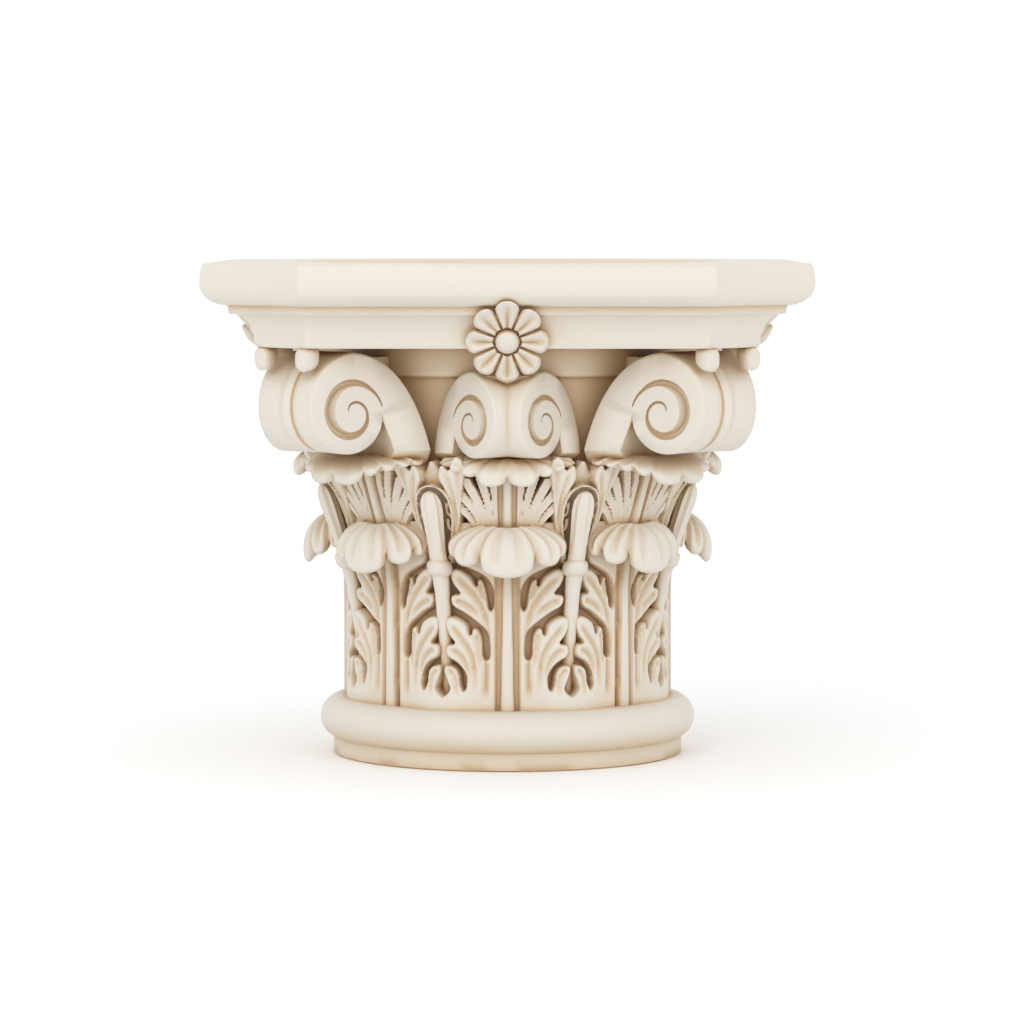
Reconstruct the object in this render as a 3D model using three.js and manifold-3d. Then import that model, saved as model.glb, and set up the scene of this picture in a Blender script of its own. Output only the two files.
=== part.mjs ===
// A Corinthian capital cast in one piece: foot ring, bell, two rows of acanthus leaves, stems,
// corner volutes, inner helices, rosettes and abacus. Millimetres, Z up, front towards -Y.

import * as THREE from "three";
import { LoftGeometry } from "three/addons/geometries/LoftGeometry.js";
import { mergeVertices } from "three/addons/utils/BufferGeometryUtils.js";
import Module from "manifold-3d";

const wasm = await Module();
wasm.setup();

const TURN = 2 * Math.PI;
const MERGE = 1e-4;
const SIMPLIFY = 1.6;
const CARVING_SIMPLIFY = 3;
const LAP = 1;

// How often each ornament repeats round the axis
const LEAVES = 8;
const FACES = 4;
const LEAF_STEP = TURN / LEAVES;
const FACE_STEP = TURN / FACES;

// Foot: a flat ring under a half-round moulding
const FOOT_RADIUS = 152.5;
const FOOT_HEIGHT = 15;
const TORUS_CENTRE_RADIUS = 145.4;
const TORUS_CENTRE_Z = 32.2;
const TORUS_TUBE = 18.4;
const TORUS_STEPS = 5;
const FOOT_SEGMENTS = 36;
const LEAF_BASE = TORUS_CENTRE_Z + TORUS_TUBE;

// Bell: straight below, flaring above, with a flat lip under the abacus
const BELL_RADIUS = 131;
const FLARE = 31;
const FLARE_FROM = 150;
const FLARE_HEIGHT = 200;
const FLARE_POWER = 1.2;
const BELL_STEPS = 3;
const LIP_RADIUS = 167;
const LIP_FOOT = 334;
const BELL_SEGMENTS = 24;

// Abacus: a square with cut corners; half widths of the square at the turns of its moulding
const HEIGHT = 429;
const ABACUS_FOOT = 359;
const ABACUS_HALF = 257;
const ABACUS_TOP_HALF = 252;
const ABACUS_FOOT_HALF = 209;
const CAVETTO_FOOT_Z = 361;
const CAVETTO_FOOT_HALF = 211;
const CAVETTO_TOP_Z = 387;
const CAVETTO_TOP_HALF = 231;
const FILLET_HALF = 233;
const FILLET_TOP_Z = 394;
const BULGE_Z = 412;
const SHOULDER_Z = 414;
const SHOULDER_STEPS = 2;
const CUT_AT_FOOT = 166;
const CUT_AT_BULGE = 170;
const MOULDING_STEPS = 4;

// Leaves: pleated blades wrapped on the bell. Each pleat is a line from the base over a bend to its
// end, given as (across, up) for one half; high pleats are ribs, low ones the creases between lobes
const WRAP_RADIUS = 145;
const SINK = 4;
const LOWER_LEAF = {
  base: 51,
  rise: [11, 14, 14],
  pleats: [
    { base: 0, bend: [0, 110], end: [0, 178], high: 1 },
    { base: 11, bend: [10.5, 110], end: [13, 168], high: 1 },
    { base: 14, bend: [14.5, 92], end: [18, 137], high: 0.35 },
    { base: 18, bend: [21, 118], end: [53, 169], high: 1 },
    { base: 21, bend: [24, 108], end: [45, 150], high: 0.6 },
    { base: 23, bend: [26, 100], end: [55, 145], high: 0.95 },
    { base: 24, bend: [23, 78], end: [28, 112], high: 0.3 },
    { base: 28, bend: [31, 86], end: [58, 128], high: 1 },
    { base: 32, bend: [34, 78], end: [49, 107], high: 0.6 },
    { base: 35, bend: [37, 74], end: [60, 103], high: 0.95 },
    { base: 37, bend: [37, 60], end: [39, 73], high: 0.3 },
    { base: 41, bend: [44, 66], end: [57, 89], high: 0.95 },
    { base: 50, bend: [52, 60], end: [58, 72], high: 0.4 },
  ],
};
const UPPER_LEAF = {
  base: 204,
  rise: [16, 22, 28],
  pleats: [
    { base: 0, bend: [0, 228], end: [0, 258], high: 1 },
    { base: 6, bend: [6, 228], end: [7, 256], high: 0.7 },
    { base: 12, bend: [13, 228], end: [18, 260], high: 1 },
    { base: 17, bend: [18, 222], end: [24, 242], high: 0.6 },
    { base: 22, bend: [26, 222], end: [37, 248], high: 0.9 },
    { base: 30, bend: [32, 211], end: [36, 222], high: 0.3 },
  ],
};

// Hoods: the turned-over leaf tips, like half domes on lobes and notches round the rim
const HOOD_SKIN = 7;
const NOTCH_INSET = 0.06;
const NOTCH_RISE = 0.16;
const HOOD_ROOT_SPREAD = 0.6;
const HOOD_SHOULDER = 0.25;
const HOOD_BROW = 0.5;
const HOOD_INNER_RIM = 0.96;
const LOWER_HOOD = {
  crestRadius: 150, crestZ: 211, reach: 28, spread: 47, drop: 44, sideDrop: 24,
  lobes: [11, 46, 84], notches: [28, 64],
};
const UPPER_HOOD = {
  crestRadius: 160, crestZ: 268, reach: 27, spread: 50, drop: 26, sideDrop: 10,
  lobes: [16, 34, 84], notches: [0, 54],
};
const CORNER_HOOD = { ...UPPER_HOOD, crestRadius: 168, reach: 45 };

// Stems between the leaves: tapered shaft, collar and bud as [height, radius], and calyx leaves
const STEM_STATIONS = [[124, 5], [166, 7.5], [170, 11.5], [177, 10.5], [206, 12], [239, 4]];
const STEM_SIDES = 6;
const STEM_STAND = 16;
const STEM_STAND_FROM = 90;
const COLLAR_Z = 172;
const BUD_LEAN = 0.2;
const CALYX = {
  base: 178,
  rise: [17, 25, 34],
  pleats: [
    { base: 6, bend: [9, 226], end: [14, 256], high: 0.6 },
    { base: 10, bend: [17, 226], end: [30, 270], high: 1 },
    { base: 16, bend: [24, 214], end: [40, 248], high: 0.6 },
  ],
};

// Scrolls: a band winding in by a fixed share each turn, with a stalk running down to the stem.
// Paths and stalk edges are the three points of bent lines: plan paths as (x, out) from the stem
// to the rim, stalk edges as (along, up) from the eye
const WIND_RATIO = 0.447;
const BAND_INNER = 0.6;
const STEPS_PER_TURN = 8;
const GROOVE_STEPS = 8;
const GROOVE_FLOOR = 0.53;
const GROOVE_DEPTH = 8;
const STALK_STEPS = 3;
const STALK_LAP = 0.05;
const LAP_SHARE = 0.98;
const STALK_SHY = 0.3;
const VOLUTE = {
  path: [[-62, 158], [-106, 167], [-166, 211.5]],
  eyeZ: 304.5, radius: 50.6, setback: 45.8, thick: 58,
  outer: [[0, 50.6], [-48, 46], [-64.5, -32]],
  inner: [[0, 30.4], [-19, 22], [-37.5, -32]],
};
const HELIX = {
  path: [[-62, 150], [-46, 160], [-8.5, 216]],
  eyeZ: 296, radius: 43, setback: 39, thick: 38,
  outer: [[0, 43], [-36, 42], [-41, -26]],
  inner: [[0, 25.8], [-17, 20], [-25, -26]],
};

// Webs fill the space between the scrolls of a pair, back to the bell; small round-nosed cushions
// sit on the corner scrolls under the abacus
const CORNER_WEB = { half: 24, from: 120, to: 218, low: 284, high: 350 };
const FACE_WEB = { half: 20, from: 130, to: 190, low: 276, high: 336 };
const CUSHION_STATIONS = [
  { along: 50, low: 345, high: 357, from: 3, to: 13 },
  { along: 45, low: 339, high: 360, from: -1, to: 16 },
  { along: 5, low: 346, high: 360, from: -1, to: 16 },
];

// Rosettes: rings of points from the stalk over the petal tips to the boss, as radius at a petal,
// radius at a notch and distance out from the axis. The flower leans out over the moulding above it,
// and its upper petals curl forward
const ROSETTE_Z = 365;
const PETALS = 8;
const ROSETTE_LEAN = 0.55;
const ROSETTE_CURL = 0.0155;
const ROSETTE_RINGS = [
  { petal: 18, notch: 18, out: 188 },
  { petal: 34.6, notch: 28, out: 217 },
  { petal: 25, notch: 24, out: 224, notchOut: 214 },
  { petal: 11, notch: 11, out: 214 },
  { petal: 6.5, notch: 6.5, out: 229 },
];

function polar(azimuth, radius, z) {
  return new THREE.Vector3(radius * Math.sin(azimuth), -radius * Math.cos(azimuth), z);
}

function bellRadius(z) {
  const climb = Math.max(0, (z - FLARE_FROM) / FLARE_HEIGHT);
  return BELL_RADIUS + FLARE * climb ** FLARE_POWER;
}

// Geometry with shared corners and no collapsed triangles, ready to be joined
function solidOf(geometry) {
  const bare = geometry.clone();
  bare.deleteAttribute("normal");
  bare.deleteAttribute("uv");
  const merged = mergeVertices(bare, MERGE);
  const index = merged.index.array;
  const position = merged.attributes.position;
  const corners = [0, 1, 2].map(() => new THREE.Vector3());
  const kept = [];
  let volume = 0;
  for (let i = 0; i < index.length; i += 3) {
    const [a, b, c] = [index[i], index[i + 1], index[i + 2]];
    if (a === b || b === c || c === a) continue;
    kept.push([a, b, c]);
    [a, b, c].forEach((vertex, k) => corners[k].fromBufferAttribute(position, vertex));
    volume += corners[0].dot(corners[1].cross(corners[2]));
  }
  const triangles = volume < 0 ? kept.map(([a, b, c]) => [a, c, b]) : kept;
  return new wasm.Manifold(new wasm.Mesh({
    numProp: 3,
    vertProperties: new Float32Array(position.array),
    triVerts: new Uint32Array(triangles.flat()),
  }));
}

function centroid(section) {
  return section.reduce((sum, p) => sum.add(p), new THREE.Vector3()).divideScalar(section.length);
}

// A solid skinned through sections and closed at both ends, each section wound the outward way
function closedLoft(sections) {
  const along = centroid(sections[1]).sub(centroid(sections[0]));
  const area = new THREE.Vector3();
  sections[0].forEach((p, k, all) => area.add(p.clone().cross(all[(k + 1) % all.length])));
  const wound = area.dot(along) < 0 ? sections.map((section) => [...section].reverse()) : sections;
  return new THREE.BufferGeometry().copy(new LoftGeometry(wound, { capStart: true, capEnd: true }));
}

function around(count, step, first, geometries) {
  const copies = [];
  for (let k = 0; k < count; k++) {
    geometries.forEach((geometry) => copies.push(geometry.clone().rotateZ(first + k * step)));
  }
  return copies;
}

// Points on a quarter of an ellipse between two angles, as [half width, height]
function arcPoints(centre, radii, from, to, steps) {
  return Array.from({ length: steps + 1 }, (_, k) => {
    const angle = from + (to - from) * k / steps;
    return [centre[0] + radii[0] * Math.cos(angle), centre[1] + radii[1] * Math.sin(angle)];
  });
}

function turned(profile, segments) {
  const points = profile.map(([radius, z]) => new THREE.Vector2(radius, z));
  return new THREE.LatheGeometry(points, segments).rotateX(TURN / 4);
}

// The flat ring and the half-round moulding over it
function foot() {
  const footAngle = -Math.acos((FOOT_RADIUS - TORUS_CENTRE_RADIUS) / TORUS_TUBE);
  const torus = arcPoints([TORUS_CENTRE_RADIUS, TORUS_CENTRE_Z], [TORUS_TUBE, TORUS_TUBE],
    footAngle, TURN / 4, TORUS_STEPS);
  return turned([[0, 0], [FOOT_RADIUS, 0], ...torus, [0, LEAF_BASE]], FOOT_SEGMENTS);
}

// The wall of the bell from inside the foot to the lip, set a little into the abacus
function bell() {
  const wall = Array.from({ length: BELL_STEPS + 1 }, (_, k) => {
    const z = FLARE_FROM + (LIP_FOOT - FLARE_FROM) * k / BELL_STEPS;
    return [bellRadius(z), z];
  });
  const start = FOOT_HEIGHT;
  const top = ABACUS_FOOT + LAP;
  return turned([
    [0, start], [BELL_RADIUS, start], ...wall, [LIP_RADIUS, LIP_FOOT], [LIP_RADIUS, top], [0, top],
  ], BELL_SEGMENTS);
}

// The abacus, one eight-cornered section for each turn of the moulding
function abacus() {
  const profile = [
    [ABACUS_FOOT_HALF, ABACUS_FOOT],
    ...arcPoints([CAVETTO_TOP_HALF, CAVETTO_FOOT_Z],
      [CAVETTO_TOP_HALF - CAVETTO_FOOT_HALF, CAVETTO_TOP_Z - CAVETTO_FOOT_Z],
      TURN / 2, TURN / 4, MOULDING_STEPS),
    [FILLET_HALF, CAVETTO_TOP_Z],
    ...arcPoints([FILLET_HALF, BULGE_Z], [ABACUS_HALF - FILLET_HALF, BULGE_Z - FILLET_TOP_Z],
      -TURN / 4, 0, MOULDING_STEPS),
    ...arcPoints([ABACUS_TOP_HALF, SHOULDER_Z], [ABACUS_HALF - ABACUS_TOP_HALF, HEIGHT - SHOULDER_Z],
      0, TURN / 4, SHOULDER_STEPS),
  ];
  const sections = profile.map(([half, z]) => {
    const share = (half - ABACUS_FOOT_HALF) / (ABACUS_HALF - ABACUS_FOOT_HALF);
    const cut = CUT_AT_FOOT + (CUT_AT_BULGE - CUT_AT_FOOT) * share;
    const corners = [];
    for (let k = 0; k < FACES; k++) {
      [-cut, cut].forEach((across) => {
        const corner = new THREE.Vector3(across, -half, z);
        corners.push(corner.applyAxisAngle(new THREE.Vector3(0, 0, 1), k * FACE_STEP));
      });
    }
    return corners;
  });
  return closedLoft(sections);
}

function onBell(across, up, height) {
  return polar(across / WRAP_RADIUS, bellRadius(up) + height, up);
}

// One pleat of a leaf as a closed outline: sunk foot, base, bend, end and sunk foot again
function pleatSection({ base, rise }, pleat, side) {
  const { bend, end, high } = pleat;
  return [
    onBell(side * pleat.base, base, -SINK),
    onBell(side * pleat.base, base, rise[0] * high),
    onBell(side * bend[0], bend[1], rise[1] * high),
    onBell(side * end[0], end[1], rise[2] * high),
    onBell(side * end[0], end[1], -SINK),
  ];
}

function leaf(shape) {
  const [midrib, ...half] = shape.pleats;
  const left = half.map((pleat) => pleatSection(shape, pleat, -1)).reverse();
  const right = half.map((pleat) => pleatSection(shape, pleat, 1));
  return closedLoft([...left, pleatSection(shape, midrib, 1), ...right]);
}

function calyxLeaf(side) {
  return closedLoft(CALYX.pleats.map((pleat) => pleatSection(CALYX, pleat, side)));
}

// The turned-over tip of a leaf: ribs fan out from the crest and drop to a lobed rim
function hood({ crestRadius, crestZ, reach, spread, drop, sideDrop, lobes, notches }) {
  const half = [
    ...lobes.map((degrees) => ({ degrees, inset: 0, lift: 0 })),
    ...notches.map((degrees) => ({ degrees, inset: NOTCH_INSET, lift: NOTCH_RISE })),
  ];
  const other = half.filter(({ degrees }) => degrees > 0).map((rib) => ({ ...rib, degrees: -rib.degrees }));
  const ribs = [...half, ...other].sort((a, b) => a.degrees - b.degrees);
  const sections = ribs.map(({ degrees, inset, lift }) => {
    const angle = THREE.MathUtils.degToRad(degrees);
    const fall = (drop * Math.cos(angle) ** 2 + sideDrop * Math.sin(angle) ** 2) * (1 - lift);
    const at = (t, skin) => {
      const out = Math.sin(t * TURN / 4) * (1 - inset);
      const forward = (reach * out - skin) * Math.cos(angle);
      const across = (spread * out - skin) * Math.sin(angle);
      const z = crestZ - fall * (1 - Math.cos(t * TURN / 4)) - (1 - t) * skin;
      return polar(across / WRAP_RADIUS, crestRadius + forward, z);
    };
    const root = HOOD_ROOT_SPREAD * spread * Math.sin(angle) / WRAP_RADIUS;
    const buried = (z) => polar(root, bellRadius(z) - SINK, z);
    const shoulder = crestZ - HOOD_SHOULDER * fall;
    return [
      buried(shoulder), at(HOOD_BROW, 0), at(1, 0), at(HOOD_INNER_RIM, HOOD_SKIN),
      buried(shoulder - 2 * HOOD_SKIN),
    ];
  });
  return closedLoft(sections);
}

// Shaft, collar and bud, leaning out from the bell as they rise
function stem() {
  const sections = STEM_STATIONS.map(([z, radius]) => {
    const rooted = Math.min(1, (z - STEM_STAND_FROM) / (COLLAR_Z - STEM_STAND_FROM));
    const stand = STEM_STAND * rooted + BUD_LEAN * Math.max(0, z - COLLAR_Z);
    return Array.from({ length: STEM_SIDES }, (_, k) => {
      const angle = TURN * k / STEM_SIDES;
      return onBell(radius * Math.cos(angle), z, stand + radius * Math.sin(angle));
    });
  });
  return closedLoft(sections);
}

function bentLine(points) {
  return new THREE.QuadraticBezierCurve(...points.map((point) => new THREE.Vector2(...point)));
}

// Places a point drawn flat about the eye of a scroll on its bent plan path, depth in from the face
function scrollGround({ path, eyeZ, setback }) {
  const plan = bentLine(path);
  const length = plan.getLength();
  const side = Math.sign(path[0][0] - path[2][0]);
  return (along, up, depth) => {
    const share = THREE.MathUtils.clamp((length - setback + along) / length, 0, 1);
    const point = plan.getPointAt(share);
    const ahead = plan.getTangentAt(share);
    const x = point.x - ahead.y * side * depth;
    const out = point.y + ahead.x * side * depth;
    return new THREE.Vector3(x, -out, eyeZ + up);
  };
}

function wound(radius, turns, share) {
  const reach = radius * WIND_RATIO ** turns * share;
  return [reach * Math.sin(TURN * turns), reach * Math.cos(TURN * turns)];
}

// The disc of a scroll. A groove winds in with the band; its walls and floor follow the band step by
// step and each turn shares its edge with the next
function scrollDisc(shape) {
  const ground = scrollGround(shape);
  const { radius, thick } = shape;
  const edge = (step, share, depth) => ground(...wound(radius, step / STEPS_PER_TURN, share), depth);
  const rim = (step) => edge(step, 1, 0);
  const back = (step) => edge(step, 1, thick);
  const across = (step) => [
    rim(step), edge(step, BAND_INNER, 0), edge(step, GROOVE_FLOOR, GROOVE_DEPTH),
    edge(step, WIND_RATIO, 0),
  ];
  const triangles = [];
  const quad = (a, b, c, d) => triangles.push(a, b, c, a, c, d);
  for (let step = 0; step < GROOVE_STEPS; step++) {
    const [here, next] = [across(step), across(step + 1)];
    for (let k = 0; k + 1 < here.length; k++) quad(here[k], here[k + 1], next[k + 1], next[k]);
  }
  const eye = ground(0, 0, 0);
  const eyeBack = ground(0, 0, thick);
  for (let step = 0; step < STEPS_PER_TURN; step++) {
    triangles.push(eye, rim(GROOVE_STEPS + step + 1), rim(GROOVE_STEPS + step));
    quad(rim(step), rim(step + 1), back(step + 1), back(step));
    triangles.push(eyeBack, back(step), back(step + 1));
  }
  const grooveEnd = across(GROOVE_STEPS);
  for (let k = 0; k + 1 < grooveEnd.length; k++) triangles.push(eye, grooveEnd[k], grooveEnd[k + 1]);
  const [top, bandEdge, floor, nextTurn] = across(0);
  const [topBack, nextBack] = [back(0), back(STEPS_PER_TURN)];
  triangles.push(eyeBack, nextBack, topBack);
  triangles.push(nextBack, nextTurn, floor);
  triangles.push(nextBack, floor, topBack);
  triangles.push(topBack, floor, bandEdge);
  triangles.push(topBack, bandEdge, top);
  return new THREE.BufferGeometry().setFromPoints(triangles);
}

// The stalk of a scroll, from the stem up to the top of the disc and a little into its band
function scrollStalk(shape) {
  const ground = scrollGround(shape);
  const { radius, thick, outer, inner } = shape;
  const edges = [[wound(radius, STALK_LAP, LAP_SHARE), wound(radius, STALK_LAP, BAND_INNER)]];
  for (let k = 0; k <= STALK_STEPS; k++) {
    edges.push([outer, inner].map((points) => bentLine(points).getPoint(k / STALK_STEPS).toArray()));
  }
  const sections = edges.map(([high, low], k) => {
    const face = k === 0 ? STALK_SHY : 0;
    return [ground(...high, face), ground(...low, face), ground(...low, thick), ground(...high, thick)];
  });
  return closedLoft(sections);
}

function web({ half, from, to, low, high }) {
  const block = new THREE.BoxGeometry(2 * half, to - from, high - low);
  return block.translate(0, -(from + to) / 2, (low + high) / 2);
}

function cushion() {
  const plan = bentLine(VOLUTE.path);
  const end = plan.getPointAt(1);
  const ahead = plan.getTangentAt(1);
  const sections = CUSHION_STATIONS.map(({ along, low, high, from, to }) => {
    const nose = end.clone().addScaledVector(ahead, along - VOLUTE.setback);
    return [[low, from], [low, to], [high, to], [high, from]].map(
      ([z, depth]) => new THREE.Vector3(nose.x - ahead.y * depth, -(nose.y + ahead.x * depth), z));
  });
  return closedLoft(sections);
}

function rosette() {
  const sections = ROSETTE_RINGS.map(({ petal, notch, out, notchOut = out }) => (
    Array.from({ length: 2 * PETALS }, (_, k) => {
      const angle = TURN * k / (2 * PETALS);
      const onPetal = k % 2 === 0;
      const radius = onPetal ? petal : notch;
      const up = radius * Math.cos(angle);
      const forward = ROSETTE_LEAN * up + ROSETTE_CURL * Math.max(0, up) ** 2;
      const depth = (onPetal ? out : notchOut) + forward;
      return new THREE.Vector3(radius * Math.sin(angle), -depth, ROSETTE_Z + up);
    })));
  return closedLoft(sections);
}

function mirrored(geometry) {
  return geometry.clone().scale(-1, 1, 1);
}

const scrolls = [VOLUTE, HELIX].flatMap((shape) => [scrollDisc(shape), scrollStalk(shape)]);
const half = [...scrolls, cushion()];
const onCorner = FACE_STEP / 2;
const onStem = LEAF_STEP / 2;
const plain = [foot(), bell(), abacus(), ...around(FACES, FACE_STEP, 0, [rosette()])];
const carving = [
  ...around(LEAVES, LEAF_STEP, 0, [leaf(LOWER_LEAF), hood(LOWER_HOOD), leaf(UPPER_LEAF)]),
  ...around(FACES, FACE_STEP, 0, [hood(UPPER_HOOD)]),
  ...around(FACES, FACE_STEP, onCorner, [hood(CORNER_HOOD), web(CORNER_WEB)]),
  ...around(LEAVES, LEAF_STEP, onStem, [stem(), calyxLeaf(1), calyxLeaf(-1)]),
  ...around(FACES, FACE_STEP, 0, [...half, ...half.map(mirrored), web(FACE_WEB)]),
];

// The carving is joined first and thinned more than the plain forms; the largest shell is kept, so
// that a pocket shut in between crossing forms is filled
const carved = wasm.Manifold.union(carving.map(solidOf)).asOriginal().simplify(CARVING_SIMPLIFY);
const joined = wasm.Manifold.union([...plain.map(solidOf), carved]).asOriginal().simplify(SIMPLIFY);
const whole = joined.decompose().reduce((a, b) => (b.volume() > a.volume() ? b : a));
const mesh = whole.getMesh();
const geometry = new THREE.BufferGeometry();
geometry.setAttribute("position", new THREE.BufferAttribute(new Float32Array(mesh.vertProperties), 3));
geometry.setIndex(new THREE.BufferAttribute(new Uint32Array(mesh.triVerts), 1));
geometry.computeVertexNormals();

const ivory = new THREE.MeshStandardMaterial({ color: 0xe9dfcb, roughness: 0.55, metalness: 0 });
const capital = new THREE.Mesh(geometry, ivory);
capital.name = "capital";

const part = new THREE.Group();
part.name = "corinthian_capital";
part.add(capital);

export default part;
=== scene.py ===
import math

import bmesh
import bpy
import numpy as np
from mathutils import Matrix


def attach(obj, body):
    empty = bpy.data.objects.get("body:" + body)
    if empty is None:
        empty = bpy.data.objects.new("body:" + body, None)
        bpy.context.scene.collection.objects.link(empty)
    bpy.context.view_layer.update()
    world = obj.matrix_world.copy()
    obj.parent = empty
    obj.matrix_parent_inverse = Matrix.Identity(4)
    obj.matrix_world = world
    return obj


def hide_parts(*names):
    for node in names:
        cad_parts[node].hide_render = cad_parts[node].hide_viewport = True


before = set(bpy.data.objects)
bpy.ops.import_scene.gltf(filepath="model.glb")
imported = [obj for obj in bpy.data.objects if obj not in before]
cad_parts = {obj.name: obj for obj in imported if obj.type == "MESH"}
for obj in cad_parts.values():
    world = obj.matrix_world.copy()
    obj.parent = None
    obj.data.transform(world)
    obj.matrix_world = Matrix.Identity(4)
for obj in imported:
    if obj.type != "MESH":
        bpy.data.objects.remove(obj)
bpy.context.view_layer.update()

# Every size below is in millimetres; the finished mesh is scaled to metres
MM = 0.001
TURN = 2 * math.pi
FACES = 4

# Turned body: foot ring, torus, bell and lip
FOOT_RADIUS = 152.5
TORUS_CENTRE = (145.4, 32.2)
TORUS_TUBE = 18.4
LEAF_BASE = TORUS_CENTRE[1] + TORUS_TUBE
BELL_RADIUS = 131
FLARE = 31
FLARE_FROM = 150
FLARE_HEIGHT = 200
FLARE_POWER = 1.2
LIP_RADIUS = 167
LIP_FOOT = 334
LIP_ROUND = 2
BODY_SEGMENTS = 160
TRIANGLE_BUDGET = 180000

# Abacus
HEIGHT = 429
ABACUS_FOOT = 359
ABACUS_FOOT_HALF = 209
ABACUS_HALF = 257
CAVETTO = {"foot": (211, 361), "top": (231, 387)}
FILLET_HALF = 233
FILLET_TOP = 394
BULGE_Z = 412
SHOULDER_Z = 414
ABACUS_TOP_HALF = 252
CUT_AT_FOOT = 166
CUT_AT_BULGE = 170
ARRIS = 2.5

# Leaves are drawn flat, as across and up, and wrapped round the bell
WRAP_RADIUS = 145
GRID_STEP = 0.95
SUNK = -2.5
BACK = -8

# Right half of a lower leaf from the base up: notched lobes and the long eyes between them
LOWER_OUTLINE = [
    (64, 47), (64, 62), (57, 62.5), (51, 68), (53, 75), (56, 83), (55, 88.5), (48.5, 88.5),
    (43, 83.5), (41, 73), (38.2, 67.5), (36.2, 73), (37.2, 81.5), (43, 90), (52, 95.5), (54.6, 101),
    (52.5, 106.5), (46.2, 107.5), (51, 114), (54.6, 123), (52.5, 130), (45, 130), (36, 124),
    (32.6, 115), (30.5, 120.5), (26, 120), (22.5, 112), (21.4, 97), (18.8, 93.5), (16, 97),
    (16.2, 108), (19, 118), (27, 125.5), (38, 133.5), (47, 138.5), (50.2, 145), (47.5, 149.5),
    (41.8, 150.2), (47, 157), (50, 165), (47.5, 171), (40, 170.5), (31.5, 164), (27.4, 156.5),
    (25.5, 163), (21.5, 161), (18.5, 151), (16.6, 139), (14.2, 136), (12.2, 142), (13, 154),
    (20, 164.5), (34, 171.5), (42, 176), (45, 184), (45, 196), (-6, 196), (-6, 47),
]
LOWER_VEINS = [
    [(47, 167), (38, 159), (29, 149), (21.5, 137), (17.5, 120), (15.5, 100)],
    [(46, 145), (38, 141.5), (29, 135), (22, 126)],
    [(24, 160), (22, 152), (20, 143)],
    [(51, 125), (43, 115), (35.5, 105), (30, 92), (28.5, 70), (28, 56)],
    [(51, 102), (44, 100), (38, 93), (34.5, 83), (33.5, 70)],
    [(28, 117), (25.5, 108), (24.5, 98), (24, 80)],
    [(53, 86), (47.5, 81), (45, 72), (44.5, 58)],
    [(18.7, 94), (18.8, 82), (19, 66), (19, 54)],
]
LOWER_MIDRIB = ([(0, 48), (0, 110), (0, 190)], (6.4, 3.6))
LOWER_RISE = 10.5
LOWER_DISH = 4
LOWER_FURROW = (3, 2.9)
LOWER_CREST = 12.5
MIDRIB_TROUGH = 10.5
MIDRIB_TROUGH_DEPTH = 5
MARGIN = 4.5
HAIRLINE = (0.8, 1.1)
THIN_SHARE = 0.2

# Right half of the calyx about a stem: two curls at its top, furrows between its ribs, and the sheath
CALYX_OUTLINE = [
    (5, 172), (10, 190), (13, 208), (13.5, 226), (10, 238), (6.5, 248), (7.5, 257), (11.5, 261),
    (15, 256.5), (17.5, 264), (22, 268.5), (26.5, 265), (28, 257), (25.5, 245), (22.5, 228),
    (19, 206), (12, 180),
]
CALYX_VEINS = [
    [(11.5, 257), (14, 245), (16.5, 228), (16, 208), (12.5, 188)],
    [(22, 264), (21.5, 248), (20, 228), (17.3, 208)],
]
HOOKS = [[(13, 202), (9.5, 207), (9.3, 213)], [(13.5, 214), (10, 220), (10.2, 227)]]
FAN_OUTLINE = [(0, 238), (14, 230), (24, 262), (10, 253), (0, 264), (-10, 253), (-24, 262), (-14, 230)]
SHEATH = [
    (-8, 180), (-13, 205), (-13.5, 226), (-9, 238), (0, 242.5), (9, 238), (13.5, 226), (13, 205), (8, 180),
]
SHEATH_EDGE = 2.4
CALYX_FURROW = (2.4, 2.2)
HOOK_HALVES = (1.8, 2.2)

# Right half of an upper leaf: leaflets as a line and a half width, and the midrib
UPPER_LEAFLETS = [
    ([(9.5, 202), (9.5, 230), (11, 256)], 3.4),
    ([(13, 202), (15, 228), (21, 254)], 4.0),
    ([(17, 202), (20, 222), (30, 246)], 4.4),
    ([(20, 202), (24, 218), (36, 237)], 4.2),
    ([(24, 202), (28, 213), (37, 225)], 3.8),
]
UPPER_MIDRIB = ([(0, 202), (0, 230), (0, 262)], (4.4, 4.0))

# Hood lobes are middle, half width and drop; flutes are angle, depth and whether they reach the rim
LOWER_HOOD = {
    "crest": (150, 211), "reach": 29, "spread": 49, "skin": 6, "notch": 13,
    "lobes": [(0, 28, 45), (45, 19, 36), (76, 14, 29)],
    "flutes": [(11.5, 4.2, False), (28, 6.5, True), (45, 4.2, False), (62, 5.5, True), (76, 3, False)],
}
UPPER_HOOD = {
    "crest": (160, 268), "reach": 28, "spread": 52, "skin": 6, "notch": 9,
    "lobes": [(13.5, 14, 25), (34, 9, 17), (49.5, 8, 13), (65, 9, 10), (83, 10, 9)],
    "flutes": [
        (0, 5, True), (13.5, 1.6, False), (26.5, 4.5, True),
        (42, 4, True), (57, 3.6, True), (73, 3, True),
    ],
}
HOOD_SWEEP = 96
HOOD_COLUMNS = 129
HOOD_ROOT_WIDTH = 0.6
HOOD_ROOT_SINK = 4
LOBE_PILLOW = 4
FLUTE_WIDTH = 4.6
TUCK = 112
CORNER_HOOD = {**UPPER_HOOD, "crest": (168, 268), "reach": 46}

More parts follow.
